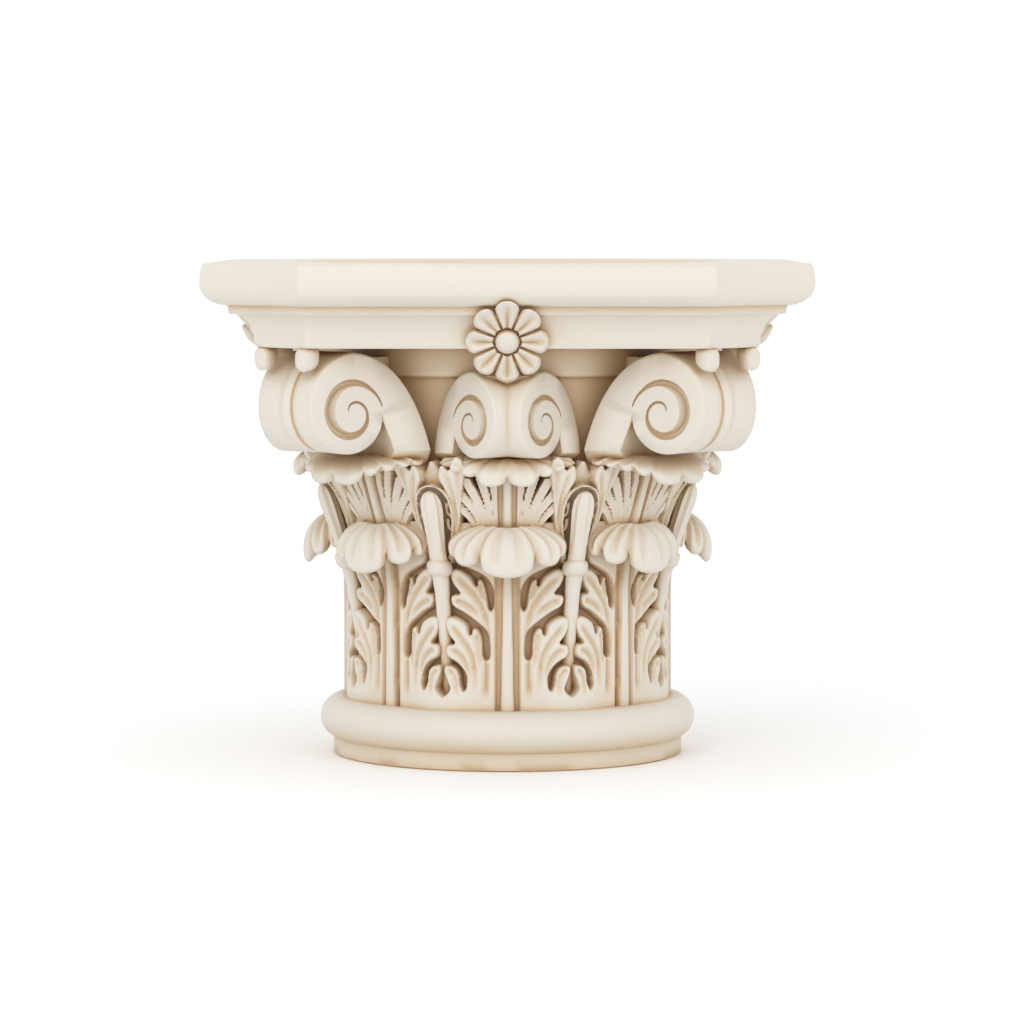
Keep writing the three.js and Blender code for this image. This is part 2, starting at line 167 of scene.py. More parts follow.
# Stems: shaft, collar and fluted bud as height and radius
STEM = [(60, 5.5), (100, 6), (150, 6.6), (165, 7.2), (166.5, 9.4), (169.5, 10.6), (174, 10.6), (177, 9.4),
        (178.5, 7.4), (186, 7), (206, 7.2), (222, 8), (230, 7.2), (235, 5), (237.5, 2.4), (238, 0.6)]
STEM_STAND = 16
COLLAR_Z = 172
BUD_LEAN = 0.2
BUD_FLUTES = 8
BUD_FLUTE_SHARE = 0.09
STEM_SIDES = 32

# Scrolls
WIND_RATIO = 0.447
VOLUTE = {
    "path": [(-62, 158), (-106, 167), (-166, 211.5)],
    "eye": 304.5, "radius": 50.6, "setback": 45.8, "thick": 58, "tail": 18,
    "outer": [(0, 50.6), (-51, 47), (-70, -32)],
    "inner": [(0, 30.4), (-19, 22), (-38.5, -32)],
}
HELIX = {
    "path": [(-62, 150), (-46, 160), (-8.5, 216)],
    "eye": 296, "radius": 43, "setback": 39, "thick": 38, "tail": 14,
    "outer": [(0, 43), (-39, 42), (-47, -26)],
    "inner": [(0, 25.8), (-17, 20), (-26, -26)],
}
# Groove of a scroll by turns from the top: edges as shares of the radius
GROOVE = {
    "turns": [-0.22, -0.12, 0, 0.12, 0.25, 0.5, 0.75, 1.0, 1.2],
    "outer": [0.555, 0.54, 0.565, 0.57, 0.548, 0.43, 0.285, 0.2, 0.1],
    "inner": [0.535, 0.48, 0.445, 0.39, 0.337, 0.305, 0.235, 0.15, 0.085],
}
GROOVE_DEPTH = 0.75
GROOVE_MOUTH = -3
FACE_ROUND = 1.6
TAIL_RECEDE = 24
WIND_POINTS = 65
SEAM_FILL = 1.2
SEAM_FROM = 0.84

# Rings of the bead between two corner scrolls: offset from the diagonal and size
BEAD_RINGS = [
    (-5.6, 0.86), (-5.2, 0.955), (-3.4, 0.985), (0, 0.995), (3.4, 0.985), (5.2, 0.955), (5.6, 0.86),
]

# Rings of the cushion on a corner scroll: place along it, lowest, highest, nearest and farthest
CUSHION_RINGS = [
    (48, 345, 355, 4, 12), (47, 342, 358, 1.5, 14.5), (44, 339.5, 359.6, 0, 16),
    (39, 340, 360, 0, 16), (34, 342, 360, 1, 15), (30, 345, 360, 4, 13),
]
CUSHION_SQUARE = 0.7

# Blocks behind the scrolls that tie them to the bell
CORNER_WEB = {"half": 24, "from": 120, "to": 218, "low": 284, "high": 350}
FACE_WEB = {"half": 20, "from": 130, "to": 190, "low": 276, "high": 336}

# Rosettes
ROSETTE_Z = 365
PETALS = 8
PETAL_RADIUS = 34.6
BOSS_RADIUS = 9.5
ROSETTE_LEAN = 0.55
ROSETTE_CURL = 0.0155
PETAL_OUT = 220.5
PETAL_DISH = 4.4
PETAL_CREASE = 1.5
PETAL_GAP = 5
PETAL_RINGS = (0.92, 0.82, 0.7, 0.57, 0.45, 0.36)
PETAL_RIM = [(0.9, 207), (1, 214.5), (0.985, 217.5)]
ROSETTE_ROOT = (18, 188)

# Rings of a rosette's boss: share of its radius and distance from the axis
BOSS_RINGS = [
    (1.12, 216.5), (1.04, 220), (0.97, 223.5), (0.82, 226.6), (0.55, 228.4), (0.25, 229), (0.02, 229.2),
]


def smooth(value, low, high):
    """0 below low, 1 above high and an even S between."""
    share = np.clip((value - low) / (high - low), 0, 1)
    return share * share * (3 - 2 * share)


def polar(azimuth, radius, height):
    """Points at angles from the front, radii and heights."""
    parts = np.broadcast_arrays(radius * np.sin(azimuth), -radius * np.cos(azimuth), height)
    return np.stack(parts, axis=-1)


def bell_radius(z):
    """Radius of the bell wall at a height."""
    climb = np.maximum(0, (np.asarray(z, float) - FLARE_FROM) / FLARE_HEIGHT)
    return BELL_RADIUS + FLARE * climb ** FLARE_POWER


def on_bell(across, up, rise):
    """Points drawn flat as across and up, wrapped on the bell and raised from it."""
    return polar(np.asarray(across) / WRAP_RADIUS, bell_radius(up) + rise, np.asarray(up, float))


def curve(points, count):
    """Evenly spaced points on a smooth line through the given ones."""
    knots = np.array(points, float)
    lead = np.vstack([2 * knots[0] - knots[1], knots, 2 * knots[-1] - knots[-2]])
    t = np.linspace(0, len(knots) - 1, 240)
    k = np.minimum(t.astype(int), len(knots) - 2)
    s = (t - k)[:, None]
    a, b, c, d = (lead[k + i] for i in range(4))
    second = 2 * a - 5 * b + 4 * c - d
    third = 3 * b - a - 3 * c + d
    fine = 0.5 * (2 * b + (c - a) * s + second * s ** 2 + third * s ** 3)
    return evenly(fine, count)


def bent_line(points, count):
    """Evenly spaced points on the bent line of a start, a bend and an end."""
    start, bend, end = (np.array(p, float) for p in points)
    t = np.linspace(0, 1, 240)[:, None]
    return evenly((1 - t) ** 2 * start + 2 * t * (1 - t) * bend + t ** 2 * end, count)


def evenly(line, count):
    """The same line with evenly spaced points."""
    run = np.concatenate([[0], np.cumsum(np.linalg.norm(np.diff(line, axis=0), axis=1))])
    at = np.linspace(0, run[-1], count)
    return np.stack([np.interp(at, run, axis) for axis in line.T], axis=1)


def nearest(line, across, up):
    """Distance of each point from a line, and how far along the line the nearest place is."""
    best = np.full(across.shape, np.inf)
    share = np.zeros(across.shape)
    for k in range(len(line) - 1):
        start = line[k]
        step = line[k + 1] - start
        t = np.clip(((across - start[0]) * step[0] + (up - start[1]) * step[1]) / (step @ step), 0, 1)
        distance = np.hypot(across - start[0] - t * step[0], up - start[1] - t * step[1])
        closer = distance < best
        best = np.where(closer, distance, best)
        share = np.where(closer, (k + t) / (len(line) - 1), share)
    return best, share


def solid(points, faces):
    """A closed mesh object with its faces outward."""
    mesh = bpy.data.meshes.new("shape")
    mesh.from_pydata((np.asarray(points) * MM).tolist(), [], faces)
    work = bmesh.new()
    work.from_mesh(mesh)
    bmesh.ops.triangulate(work, faces=work.faces)
    if work.calc_volume(signed=True) < 0:
        bmesh.ops.reverse_faces(work, faces=work.faces)
    work.to_mesh(mesh)
    work.free()
    shape = bpy.data.objects.new("shape", mesh)
    bpy.context.scene.collection.objects.link(shape)
    return shape


def grid_faces(rows, columns, first, wrap=False):
    """Faces between the points of a grid, numbered from first."""
    faces = []
    for i in range(rows - 1):
        for j in range(columns if wrap else columns - 1):
            n = (j + 1) % columns
            here, above = first + i * columns, first + (i + 1) * columns
            faces.append((here + j, here + n, above + n, above + j))
    return faces


def slab(front, back):
    """A solid between two grids of points."""
    rows, columns = front.shape[:2]
    count = rows * columns
    faces = grid_faces(rows, columns, 0)
    faces += [face[::-1] for face in grid_faces(rows, columns, count)]
    edge = [(0, j) for j in range(columns)] + [(i, columns - 1) for i in range(1, rows)]
    edge += [(rows - 1, j) for j in range(columns - 2, -1, -1)] + [(i, 0) for i in range(rows - 2, 0, -1)]
    ring = [i * columns + j for i, j in edge]
    for a, b in zip(ring, ring[1:] + ring[:1]):
        faces.append((b, a, a + count, b + count))
    return solid(np.vstack([front.reshape(-1, 3), back.reshape(-1, 3)]), faces)


def loft(rings):
    """A solid skinned through closed rings of points, with flat ends."""
    rings = np.asarray(rings)
    rows, columns = rings.shape[:2]
    faces = grid_faces(rows, columns, 0, wrap=True)
    faces.append(tuple(range(columns))[::-1])
    faces.append(tuple(range((rows - 1) * columns, rows * columns)))
    return solid(rings.reshape(-1, 3), faces)


def turned(profile, segments):
    """A solid of revolution through radius and height pairs, the first and last close to the axis."""
    angles = np.arange(segments) * TURN / segments
    return loft([polar(angles, radius, z) for radius, z in profile])


def combine(shapes, operation="UNION"):
    """All shapes as one closed solid, or the first less the others."""
    first, *others = shapes
    for other in others:
        step = first.modifiers.new("join", "BOOLEAN")
        step.operation = operation
        step.solver = "MANIFOLD"
        step.object = other
    return settle(first, others)


def settle(shape, spent=()):
    """Applies the modifiers of a shape and removes the shapes they used."""
    graph = bpy.context.evaluated_depsgraph_get()
    mesh = bpy.data.meshes.new_from_object(shape.evaluated_get(graph))
    shape.modifiers.clear()
    shape.data = mesh
    for other in spent:
        bpy.data.objects.remove(other)
    return shape


def thinned(shape, share):
    """The shape with about that share of its triangles."""
    step = shape.modifiers.new("thin", "DECIMATE")
    step.ratio = share
    return settle(shape)


def copied(shape, degrees=0.0, mirror=False):
    """A copy turned about the axis, mirrored left to right first if asked."""
    twin = shape.copy()
    twin.data = shape.data.copy()
    bpy.context.scene.collection.objects.link(twin)
    if mirror:
        twin.data.transform(Matrix.Scale(-1, 4, (1, 0, 0)))
        twin.data.flip_normals()
    twin.data.transform(Matrix.Rotation(math.radians(degrees), 4, "Z"))
    return twin


def arc(centre, radii, start, end, steps):
    """Points on an ellipse between two angles in degrees."""
    angles = np.radians(np.linspace(start, end, steps + 1))
    return [(centre[0] + radii[0] * math.cos(a), centre[1] + radii[1] * math.sin(a)) for a in angles]


def body():
    """Foot ring, torus, bell wall and lip, turned as one."""
    start = -math.degrees(math.acos((FOOT_RADIUS - TORUS_CENTRE[0]) / TORUS_TUBE))
    torus = arc(TORUS_CENTRE, (TORUS_TUBE, TORUS_TUBE), start, 90, 22)
    wall = [(float(bell_radius(z)), z) for z in np.linspace(LEAF_BASE, LIP_FOOT - LIP_ROUND, 16)]
    lip = arc((LIP_RADIUS - LIP_ROUND, LIP_FOOT + LIP_ROUND), (LIP_ROUND, LIP_ROUND), -90, 0, 4)
    top = ABACUS_FOOT + 1
    profile = [(1, 0), (FOOT_RADIUS - 1.2, 0), (FOOT_RADIUS, 1.2)] + torus + wall + lip
    return turned(profile + [(LIP_RADIUS, top), (1, top)], BODY_SEGMENTS)


def abacus():
    """The eight-sided moulded slab, lofted up its profile."""
    foot, top = CAVETTO["foot"], CAVETTO["top"]
    profile = [(ABACUS_FOOT_HALF, ABACUS_FOOT)]
    profile += arc((top[0], foot[1]), (top[0] - foot[0], top[1] - foot[1]), 180, 90, 9)
    profile += [(FILLET_HALF, top[1] + 0.6), (FILLET_HALF, FILLET_TOP)]
    bulge = (ABACUS_HALF - FILLET_HALF, BULGE_Z - FILLET_TOP)
    shoulder = (ABACUS_HALF - ABACUS_TOP_HALF, HEIGHT - SHOULDER_Z)
    profile += arc((FILLET_HALF, BULGE_Z), bulge, -90, 0, 9)
    profile += arc((ABACUS_TOP_HALF, SHOULDER_Z), shoulder, 0, 90, 7)
    rings = []
    for half, z in profile:
        share = (half - ABACUS_FOOT_HALF) / (ABACUS_HALF - ABACUS_FOOT_HALF)
        cut = CUT_AT_FOOT + (CUT_AT_BULGE - CUT_AT_FOOT) * share
        slope = ARRIS * math.sqrt(0.5)
        quarter = [(-cut - slope, -half + slope), (-cut - 0.3 * ARRIS, -half + 0.12 * ARRIS),
                   (-cut + ARRIS, -half), (cut - ARRIS, -half),
                   (cut + 0.3 * ARRIS, -half + 0.12 * ARRIS), (cut + slope, -half + slope)]
        ring = []
        for k in range(FACES):
            c, s = math.cos(k * TURN / FACES), math.sin(k * TURN / FACES)
            ring += [(c * x - s * y, s * x + c * y, z) for x, y in quarter]
        rings.append(ring)
    return loft(rings)


def inside(outline, across, up):
    """Whether each point lies within a closed outline."""
    odd = np.zeros(across.shape, bool)
    for (x0, z0), (x1, z1) in zip(outline, np.roll(outline, -1, axis=0)):
        if z0 != z1:
            crossed = (up < z0) != (up < z1)
            odd ^= crossed & (across < x0 + (up - z0) * (x1 - x0) / (z1 - z0))
    return odd


def blade(across, up, outline, rise):
    """Height of a leaf blade with a rounded margin, inside an outline drawn through the given points."""
    line = curve([*outline, outline[0]], 9 * len(outline))
    distance, _ = nearest(line, across, up)
    depth = np.where(inside(line, across, up), distance, -distance)
    pillow = np.sqrt(1 - (1 - np.clip(depth / MARGIN, 0, 1)) ** 2)
    top = rise - MARGIN * (1 - pillow)
    return SUNK + (top - SUNK) * smooth(depth, -0.9, 0.9)


def scored(height, across, up, veins, deep, wide):
    """The height with a soft furrow and a hairline along each vein."""
    line_deep, line_wide = HAIRLINE
    cut = np.zeros(height.shape)
    for points in veins:
        distance, share = nearest(curve(points, 24), across, up)
        soft = deep * np.exp(-(distance / wide) ** 2) + line_deep * np.exp(-(distance / line_wide) ** 2)
        cut = np.maximum(cut, soft * smooth(share, 0, 0.12) * (1 - smooth(share, 0.55, 1)))
    return np.maximum(height - cut, SUNK)


def leaflet_fan(across, up, leaflets, rise):
    """Height of narrow leaflets with a furrow down each, the highest one at each point."""
    height = np.full(across.shape, float(SUNK))
    for points, half in leaflets:
        distance, share = nearest(curve(points, 28), across, up)
        width = half * (0.75 + 0.25 * smooth(share, 0.2, 0.8))
        furrow = 1.4 * np.exp(-(distance / (0.5 * half)) ** 2)
        height = np.maximum(height, SUNK + (rise - furrow - SUNK) * smooth(width + 0.9 - distance, 0, 1.8))
    return height


def ridge(across, up, points, halves, rise):
    """Height of a rounded rib whose half width runs from the first to the second value."""
    distance, share = nearest(curve(points, 40), across, up)
    width = halves[0] + (halves[1] - halves[0]) * share
    crown = np.sqrt(1 - np.clip(distance / width, 0, 1) ** 2)
    return SUNK + (rise * (0.75 + 0.25 * crown) - SUNK) * smooth(width + 0.8 - distance, 0, 1.6)


def patch(across, up, height):
    """A solid relief on the bell."""
    return slab(on_bell(across, up, height), on_bell(across, up, np.full(height.shape, float(BACK))))


def leaf_grid(half, low, high):
    """Flat grid of a leaf, as across and up."""
    columns = int(2 * half / GRID_STEP) + 1
    rows = int((high - low) / GRID_STEP) + 1
    return np.meshgrid(np.linspace(-half, half, columns), np.linspace(low, high, rows))


def lower_leaf():
    """Relief of a lower leaf below its hood."""
    across, up = leaf_grid(58, 49.5, 192)
    side = np.abs(across)
    height = blade(side, up, LOWER_OUTLINE, LOWER_RISE + LOWER_DISH * smooth(side, 14, 52))
    height = scored(height, side, up, LOWER_VEINS, *LOWER_FURROW)
    height = height - MIDRIB_TROUGH_DEPTH * smooth(MIDRIB_TROUGH - side, -1.5, 1.5)
    height = np.maximum(height, ridge(side, up, *LOWER_MIDRIB, LOWER_CREST))
    return thinned(patch(across, up, height), THIN_SHARE)


def upper_leaf():
    """Fan of an upper leaf below its hood."""
    across, up = leaf_grid(42, 200, 266)
    side = np.abs(across)
    rise = 15 + 0.2 * (up - 204)
    height = leaflet_fan(side, up, UPPER_LEAFLETS, rise)
    ground = smooth(np.interp(up, [200, 225, 262], [28, 26, 20]) - side, -2, 3)
    height = np.maximum(height, SUNK + (0.78 * rise - SUNK) * ground)
    height = np.maximum(height, ridge(side, up, *UPPER_MIDRIB, rise + 2))
    return thinned(patch(across, up, height), THIN_SHARE)


def calyx():
    """The leaves springing from a collar on both sides of the bud, with the sheath round the bud."""
    across, up = leaf_grid(44, 168, 275)
    side = np.abs(across)
    rise = 13 + 19 * smooth(up, 175, 275) + 3 * smooth(up, 252, 266)
    height = scored(blade(side, up, CALYX_OUTLINE, rise), side, up, CALYX_VEINS, *CALYX_FURROW)
    height = np.maximum(height, blade(across, up, FAN_OUTLINE, rise - 11))
    arch = curve(SHEATH, 60)
    distance, _ = nearest(arch, across, up)
    height = np.where(inside(arch, across, up), np.maximum(height, rise - 13), height)
    height = np.maximum(height, SUNK + (rise + 1 - SUNK) * smooth(SHEATH_EDGE - distance, 0, 1.6))
    for hook in HOOKS:
        height = np.maximum(height, ridge(side, up, hook, HOOK_HALVES, rise - 1))
    return thinned(patch(across, up, height), THIN_SHARE)


def hood(shape):
    """The turned-over tip of a leaf: a fluted half dome with a lobed rim that tucks under."""
    crest_radius, crest_z = shape["crest"]
    skin = shape["skin"]
    degrees = np.linspace(-HOOD_SWEEP, HOOD_SWEEP, HOOD_COLUMNS)
    fall = np.full(degrees.shape, 2.0)
    pillow = np.ones(degrees.shape)
    for middle, half, drop in shape["lobes"]:
        ratio = np.clip(np.abs(np.abs(degrees) - middle) / half, 0, 1)
        rim = drop - shape["notch"] * (1 - np.sqrt(1 - ratio ** 2))
        fall = np.where(ratio < 1, np.maximum(fall, rim), fall)
        pillow = np.minimum(pillow, 1 - np.sqrt(1 - ratio ** 2))

    def flute(t):
        cut = LOBE_PILLOW * pillow * smooth(t, 0.35, 1)
        for angle, deep, through in shape["flutes"]:
            if through:
                fade = smooth(t, 0.1, 0.5)
            else:
                fade = smooth(t, 0.1, 0.35) * (1 - smooth(t, 0.7, 0.98))
            cut = np.maximum(cut, deep * fade * np.exp(-((np.abs(degrees) - angle) / FLUTE_WIDTH) ** 2))
        return cut

    def course(t, thin):
        turn = math.radians(t * TUCK)
        inward = flute(t) + thin
        forward = (shape["reach"] * math.sin(turn) - inward) * np.cos(np.radians(degrees))
        across = (shape["spread"] * math.sin(turn) - inward) * np.sin(np.radians(degrees))
        z = crest_z - fall * (1 - math.cos(turn)) / (1 - math.cos(math.radians(TUCK))) - (1 - t) * thin
        return polar(across / WRAP_RADIUS, crest_radius + forward, z)

    def root(z):
        across = HOOD_ROOT_WIDTH * shape["spread"] * np.sin(np.radians(degrees))
        return polar(across / WRAP_RADIUS, bell_radius(z) - HOOD_ROOT_SINK, z)

    shoulder = crest_z - 0.12 * fall
    courses = [root(shoulder)] + [course(t, 0) for t in np.linspace(0.24, 0.96, 15)]
    courses += [course(0.99, 0.2 * skin), course(1, 0.5 * skin), course(0.98, 0.9 * skin)]
    courses += [course(t, skin) for t in (0.85, 0.65)] + [root(shoulder - 2.4 * skin)]
    return loft(np.stack(courses, axis=1))


def stem():
    """A stem with its collar and fluted bud, leaning out from the bell."""
    angles = np.arange(STEM_SIDES) * TURN / STEM_SIDES
    rings = []
    for z, radius in STEM:
        rooted = min(1, (z - STEM[0][0]) / (COLLAR_Z - STEM[0][0]))
        stand = STEM_STAND * (1.2 * rooted - 0.2) + BUD_LEAN * max(0, z - COLLAR_Z)
        fluted = BUD_FLUTE_SHARE * smooth(z, 180, 195)
        wide = radius * (1 + fluted * np.cos(BUD_FLUTES * angles))
        rings.append(on_bell(wide * np.cos(angles), np.full(STEM_SIDES, z), stand + wide * np.sin(angles)))
    return loft(rings)


def scroll_ground(shape):
    """Places points drawn flat about the eye of a scroll on its bent plan path."""
    plan = bent_line(shape["path"], 240)
    run = np.concatenate([[0], np.cumsum(np.linalg.norm(np.diff(plan, axis=0), axis=1))])
    ahead = np.gradient(plan, axis=0)
    ahead /= np.linalg.norm(ahead, axis=1)[:, None]
    side = np.sign(plan[0, 0] - plan[-1, 0])

    def ground(along, up, depth):
        at = run[-1] - shape["setback"] + np.asarray(along, float)
        x, out, ahead_x, ahead_out = (np.interp(at, run, axis) for axis in (*plan.T, *ahead.T))
        x = x - ahead_out * side * depth
        out = out + ahead_x * side * depth
        parts = (x, -out, shape["eye"] + np.asarray(up))
        return np.stack(np.broadcast_arrays(*parts), axis=-1)

    return ground


def wound(radius, turns):
    """Points on the spiral edge of a scroll by turns from its top."""
    reach = radius * WIND_RATIO ** turns
    return np.array([reach * np.sin(TURN * turns), reach * np.cos(TURN * turns)])


def scroll(shape):
    """The disc of a scroll with its stalk and the groove that winds in to the eye."""
    ground = scroll_ground(shape)
    turns = np.linspace(0, 1, WIND_POINTS)
    along, up = wound(shape["radius"], turns) * (1 + SEAM_FILL * smooth(turns, SEAM_FROM, 1))
    edge = 1 - FACE_ROUND / shape["radius"]
    stations = [(0.02, 0), (0.5, 0), (edge, 0), (0.5 + edge / 2, 0.3 * FACE_ROUND), (1, FACE_ROUND),
                (1, shape["thick"]), (0.02, shape["thick"])]
    disc = loft([ground(along * share, up * share, depth) for share, depth in stations])
    drop = np.array([(0, -shape["tail"])])
    outer = bent_line(shape["outer"], 15)
    inner = bent_line(shape["inner"], 15)
    outer = np.vstack([outer, outer[-1:] + drop])
    inner = np.vstack([inner, inner[-1:] + drop])
    rings = []
    recede = [0] * (len(outer) - 1) + [TAIL_RECEDE]
    for high, low, back in zip(outer, inner, recede):
        trim = (low - high) * FACE_ROUND / np.linalg.norm(low - high)
        flat = [(high + trim, back + 0.1), (low - trim, back + 0.1), (low, back + FACE_ROUND),
                (low, shape["thick"]), (high, shape["thick"]), (high, back + FACE_ROUND)]
        rings.append([ground(*point, depth) for point, depth in flat])
    stalk = loft(rings)
    turns = np.linspace(GROOVE["turns"][0], GROOVE["turns"][-1], 60)
    far = shape["radius"] * np.interp(turns, GROOVE["turns"], GROOVE["outer"])
    near = shape["radius"] * np.interp(turns, GROOVE["turns"], GROOVE["inner"])
    middle, half = (far + near) / 2, (far - near) / 2
    rings = []
    for turn, r, w in zip(turns, middle, half):
        deep = 2 * GROOVE_DEPTH * w + 0.8
        section = [
            (-1.05, GROOVE_MOUTH), (1.05, GROOVE_MOUTH), (1.0, 0),
            (0.9, 0.75 * deep), (0.45, deep), (-0.3, 0.85 * deep), (-1, 0),
        ]
        reach = [r + w * share for share, _ in section]
        rings.append([ground(q * math.sin(TURN * turn), q * math.cos(TURN * turn), depth)
                      for q, (_, depth) in zip(reach, section)])
    return combine([combine([disc, stalk]), loft(rings)], "DIFFERENCE")


def corner_bead():
    """The rounded bead between the two scrolls of a corner, on the front left diagonal."""
    along, up = wound(VOLUTE["radius"], np.linspace(0, 1, WIND_POINTS))
    end = bent_line(VOLUTE["path"], 240)[-1]
    eye = (abs(end[0]) + end[1]) * math.sqrt(0.5) - VOLUTE["setback"]
    rings = []
    for offset, grow in BEAD_RINGS:
        out = eye + along * grow
        x = -out * math.sqrt(0.5) + offset * math.sqrt(0.5)
        y = -out * math.sqrt(0.5) - offset * math.sqrt(0.5)
        rings.append(np.stack([x, y, VOLUTE["eye"] + up * grow], axis=1))
    return loft(rings)


def web(shape):
    """A plain block behind the scrolls of a corner or a face."""
    half, near, far = shape["half"], shape["from"], shape["to"]
    corners = [(-half, -near), (half, -near), (half, -far), (-half, -far)]
    return loft([[(x, y, z) for x, y in corners] for z in (shape["low"], shape["high"])])


def cushion():
    """The round-nosed pad on a corner scroll, under the abacus."""
    plan = bent_line(VOLUTE["path"], 240)
    ahead = plan[-1] - plan[-2]
    ahead /= np.linalg.norm(ahead)
    rings = []
    for along, low, high, near, far in CUSHION_RINGS:
        nose = plan[-1] + ahead * (along - VOLUTE["setback"])
        ring = []
        for angle in np.arange(16) * TURN / 16:
            c, s = math.cos(angle), math.sin(angle)
            c, s = (np.sign(part) * abs(part) ** CUSHION_SQUARE for part in (c, s))
            depth = (near + far) / 2 + (far - near) / 2 * c
            z = (low + high) / 2 + (high - low) / 2 * s
            ring.append((nose[0] - ahead[1] * depth, -(nose[1] + ahead[0] * depth), z))
        rings.append(ring)
    return loft(rings)


def rosette():
    """Eight dished petals with a crease down the middle of each, round a boss."""
    count = PETALS * 16
    angles = np.arange(count) * TURN / count
    phase = (angles * PETALS / TURN + 0.5) % 1 - 0.5
    lobe = np.sqrt(np.clip(1 - (phase / 0.5) ** 2, 0, 1))
    reach = PETAL_RADIUS * (0.66 + 0.34 * lobe ** 0.8)
    flat = np.ones(count)
    rings = [(reach * share, out * flat) for share, out in PETAL_RIM]
    for share in PETAL_RINGS:
        bowl = np.sin(math.pi * np.clip((share - 0.3) / 0.7, 0, 1))
        dish = PETAL_DISH * bowl * np.exp(-(phase / 0.2) ** 2)
        crease = PETAL_CREASE * np.exp(-(phase / 0.06) ** 2) * (share < 0.9)
        gap = PETAL_GAP * smooth(np.abs(phase), 0.34, 0.5)
        rings.append((reach * share, PETAL_OUT - dish - crease - gap + 2.2 * (1 - share)))
    for share, out in BOSS_RINGS:
        rings.append((BOSS_RADIUS * share * flat, out * flat))
    root, back = ROSETTE_ROOT
    points = [np.stack([root * np.sin(angles), -back * flat, ROSETTE_Z + root * np.cos(angles)], axis=1)]
    for r, out in rings:
        up = r * np.cos(angles)
        forward = ROSETTE_LEAN * up + ROSETTE_CURL * np.maximum(0, up) ** 2
        points.append(np.stack([r * np.sin(angles), -(out + forward), ROSETTE_Z + up], axis=1))
    return loft(points)


# One quarter of the ornament: a face and the corner to its right
lower = combine([lower_leaf(), hood(LOWER_HOOD)])
upper = upper_leaf()
face_leaf = combine([copied(lower), copied(upper), hood(UPPER_HOOD)])
corner_leaf = combine([lower, upper, hood(CORNER_HOOD)])
corner_leaf.data.transform(Matrix.Rotation(math.radians(45), 4, "Z"))
sprig = combine([calyx(), stem()])
volute, helix = scroll(VOLUTE), scroll(HELIX)
left = [volute, helix, cushion()]
right = [copied(shape, mirror=True) for shape in left]
corner_web = web(CORNER_WEB)
corner_web.data.transform(Matrix.Rotation(math.radians(45), 4, "Z"))
face_web = web(FACE_WEB)
quarter = combine([
    face_leaf, corner_leaf, copied(sprig, 22.5), copied(sprig, -22.5), *left, *right,
    corner_bead(), corner_web, face_web, rosette(),
])
bpy.data.objects.remove(sprig)
quarters = [copied(quarter, 90 * k) for k in range(1, FACES)]
piece = combine([body(), abacus(), quarter, *quarters])
triangles = sum(len(face.vertices) - 2 for face in piece.data.polygons)
piece = thinned(piece, min(1, TRIANGLE_BUDGET / triangles))
piece.name = "capital_cast"
piece.data.name = "capital_cast"

# Smooth shading with the crisp arrises kept
SHARP = math.radians(42)
for face in piece.data.polygons:
    face.use_smooth = True
piece.data.set_sharp_from_angle(angle=SHARP)


# Depth of the ground near the bell wall, and how far it darkens there: partly a real tan wash and partly
# painted shade behind the scrolls
GROUND_DEPTH = 14
GROUND_WASH_AND_SHADE = 0.35

# Colours of the coat from the closest recess to the open face: the tan and brown of the recesses are partly
# a real wash and partly painted shade
WASH_AND_SHADE_STOPS = [
    (0.08, (0.44, 0.28, 0.15)),
    (0.4, (0.58, 0.42, 0.25)),
    (0.7, (0.655, 0.545, 0.4)),
    (0.95, (0.68, 0.64, 0.57)),
]
ROUGHNESS = 0.5
CREVICE_REACH = 0.007
HOLLOW_REACH = 0.045
PATCH_SCALE = 16
PATCH_SHARE = 0.16
GRAIN_SCALE = 420
GRAIN_STRENGTH = 0.12
GRAIN_HEIGHT = 0.0006


